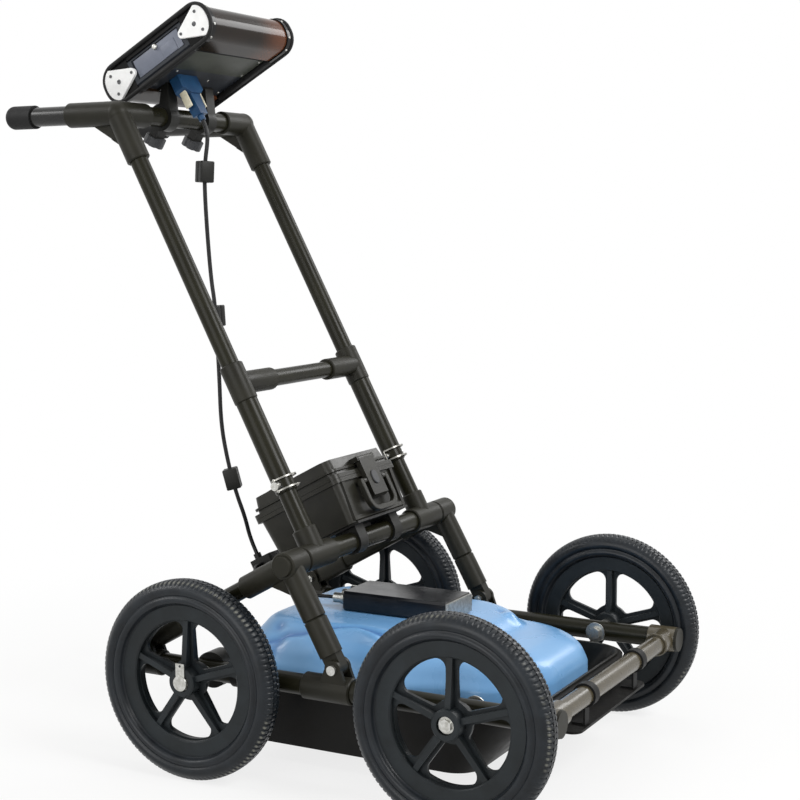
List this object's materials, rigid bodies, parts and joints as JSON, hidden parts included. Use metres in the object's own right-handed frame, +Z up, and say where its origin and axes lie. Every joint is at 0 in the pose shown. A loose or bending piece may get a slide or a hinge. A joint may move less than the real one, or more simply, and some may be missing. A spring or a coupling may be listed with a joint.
{
  "type": "ground penetrating radar push cart",
  "caption": "Push cart for a ground radar survey: tubular frame on four wheels, sensor in a skid tub, battery case, tilting display and handle grips.",
  "frame": {"origin": "on the floor under the middle of the cart's bounding box", "axes": "+X ahead the way the cart is pushed, +Y to the cart's left, +Z up"},
  "size_m": [1.0638, 0.6836, 1.2189],
  "materials": {
    "wheel_plastic": "moulded black nylon",
    "tyre_rubber": "dusty black tyre rubber",
    "frame_tube": "olive grey glass fibre tube",
    "frame_fitting": "moulded black fitting, faint gloss",
    "bright_steel": "zinc plated and stainless steel",
    "black_rubber": "soft black rubber",
    "black_plastic": "moulded black plastic",
    "skid_plastic": "black polyethylene, scuffed",
    "blue_shell": "light blue moulded shell, satin",
    "box_enamel": "black enamelled sheet metal, glossy",
    "base_shell": "dark moulded base",
    "circuit_board": "green solder mask",
    "cell_wrap": "dark grey battery case",
    "bronze_bumper": "dark bronze moulded rubber, glossy",
    "white_plate": "white moulded plate",
    "screen_glass": "dark cover glass, switched off",
    "blue_hood": "blue moulded connector hood",
    "cable_jacket": "black cable jacket",
    "button_plastic": "pale moulded button"
  },
  "bodies": {
    "frame": {"axle_bolts": "bright_steel", "odometer_encoder": "black_plastic", "side_tubes": "frame_tube", "corner_tees": "frame_fitting", "front_crossbar": "frame_tube", "tube_end_caps": "black_plastic", "pivot_saddles": "frame_fitting", "pivot_knuckles": "frame_fitting", "pivot_bolts": "bright_steel", "brace_tubes": "frame_tube", "upper_cross_tube": "frame_tube", "upper_tees": "frame_fitting", "leg_tubes": "frame_tube", "leg_sleeves": "frame_tube", "mid_tees": "frame_fitting", "mid_cross_tube": "frame_tube", "handle_elbows": "frame_fitting", "handle_crossbar": "frame_tube", "grip_tubes": "frame_tube", "grip_caps": "black_rubber", "skid_tub": "skid_plastic", "tub_straps": "black_plastic", "sensor_base": "base_shell", "antenna_boards": "circuit_board", "sensor_lid": "blue_shell", "electronics_box": "box_enamel", "box_connectors": "bright_steel", "battery_case": "black_plastic", "battery_cells": "cell_wrap", "battery_cradle": "black_plastic", "terminal_box": "black_plastic", "signal_cable": "cable_jacket", "ferrite_blocks": "black_plastic", "power_lead": "cable_jacket"},
    "wheel_front_right": {"wheel_front_right": "wheel_plastic", "tyre_front_right": "tyre_rubber"},
    "wheel_front_left": {"wheel_front_left": "wheel_plastic", "tyre_front_left": "tyre_rubber"},
    "wheel_rear_right": {"wheel_rear_right": "wheel_plastic", "tyre_rear_right": "tyre_rubber", "odometer_drive_plate": "bright_steel"},
    "wheel_rear_left": {"wheel_rear_left": "wheel_plastic", "tyre_rear_left": "tyre_rubber"},
    "display": {"display_housing": "black_plastic", "display_bumpers": "bronze_bumper", "display_corner_plates": "white_plate", "display_screen": "screen_glass", "display_mount": "black_plastic", "connector_hood": "blue_hood"},
    "power_button": {"power_button": "button_plastic"},
    "knob_right": {"knob_right": "black_plastic"},
    "knob_left": {"knob_left": "black_plastic"},
    "snap_pin_right": {"snap_pin_right": "bright_steel"},
    "snap_pin_left": {"snap_pin_left": "bright_steel"},
    "pin_bail_right": {"pin_bail_right": "bright_steel"},
    "pin_bail_left": {"pin_bail_left": "bright_steel"},
    "battery_lid": {"battery_lid": "black_plastic"},
    "battery_latch": {"battery_latch": "black_plastic"},
    "latch_button": {"latch_button": "black_plastic"},
    "case_handle": {"case_handle": "black_plastic"}
  },
  "joints": [
    {"name": "wheel_front_right_spin", "type": "hinge", "parent": "frame", "child": "wheel_front_right", "pos_m": [0.37342, -0.315, 0.1585], "axis": [0, 1, 0], "continuous": true},
    {"name": "wheel_front_left_spin", "type": "hinge", "parent": "frame", "child": "wheel_front_left", "pos_m": [0.37342, 0.315, 0.1585], "axis": [0, 1, 0], "continuous": true},
    {"name": "wheel_rear_right_spin", "type": "hinge", "parent": "frame", "child": "wheel_rear_right", "pos_m": [-0.08258, -0.315, 0.1585], "axis": [0, 1, 0], "continuous": true},
    {"name": "wheel_rear_left_spin", "type": "hinge", "parent": "frame", "child": "wheel_rear_left", "pos_m": [-0.08258, 0.315, 0.1585], "axis": [0, 1, 0], "continuous": true},
    {"name": "display_tilt", "type": "hinge", "parent": "frame", "child": "display", "pos_m": [-0.30242, 0, 1.04283], "axis": [0, -1, 0], "range_deg": [0, 30]},
    {"name": "knob_right_turn", "type": "hinge", "parent": "display", "child": "knob_right", "pos_m": [-0.32432, -0.055, 1.0049], "axis": [-0.5, 0, -0.866], "range_deg": [0, 360]},
    {"name": "knob_left_turn", "type": "hinge", "parent": "display", "child": "knob_left", "pos_m": [-0.32432, 0.055, 1.0049], "axis": [-0.5, 0, -0.866], "range_deg": [0, 360]},
    {"name": "power_button_press", "type": "slide", "parent": "display", "child": "power_button", "axis": [0, 1, 0], "range_m": [0, 0.0015], "stiffness_N_per_m": 400},
    {"name": "snap_pin_right_pull", "type": "slide", "parent": "frame", "child": "snap_pin_right", "axis": [0, -1, 0], "range_m": [0, 0.045]},
    {"name": "pin_bail_right_swing", "type": "hinge", "parent": "snap_pin_right", "child": "pin_bail_right", "pos_m": [0.00866, -0.2038, 0.45282], "axis": [0.4664, 0, -0.8846], "range_deg": [0, 110.5]},
    {"name": "snap_pin_left_pull", "type": "slide", "parent": "frame", "child": "snap_pin_left", "axis": [0, 1, 0], "range_m": [0, 0.045]},
    {"name": "pin_bail_left_swing", "type": "hinge", "parent": "snap_pin_left", "child": "pin_bail_left", "pos_m": [0.00866, 0.2038, 0.45282], "axis": [-0.4664, 0, 0.8846], "range_deg": [0, 110.5]},
    {"name": "battery_lid_open", "type": "hinge", "parent": "frame", "child": "battery_lid", "pos_m": [-0.10917, 0, 0.36583], "axis": [0, -1, 0], "range_deg": [0, 75]},
    {"name": "battery_latch_lift", "type": "hinge", "parent": "battery_lid", "child": "battery_latch", "pos_m": [0.05117, 0, 0.47467], "axis": [0, -1, 0], "range_deg": [0, 80]},
    {"name": "latch_button_press", "type": "slide", "parent": "battery_latch", "child": "latch_button", "axis": [-0.8846, 0, -0.4664], "range_m": [0, 0.002], "stiffness_N_per_m": 400},
    {"name": "case_handle_swing", "type": "hinge", "parent": "frame", "child": "case_handle", "pos_m": [0.06913, 0, 0.44061], "axis": [0, -1, 0], "range_deg": [0, 100]}
  ],
  "couplings": [
    {"joint": "pin_bail_right_swing", "follows": "snap_pin_right_pull", "rad_per_m": 42.664},
    {"joint": "pin_bail_left_swing", "follows": "snap_pin_left_pull", "rad_per_m": 42.664}
  ]
}
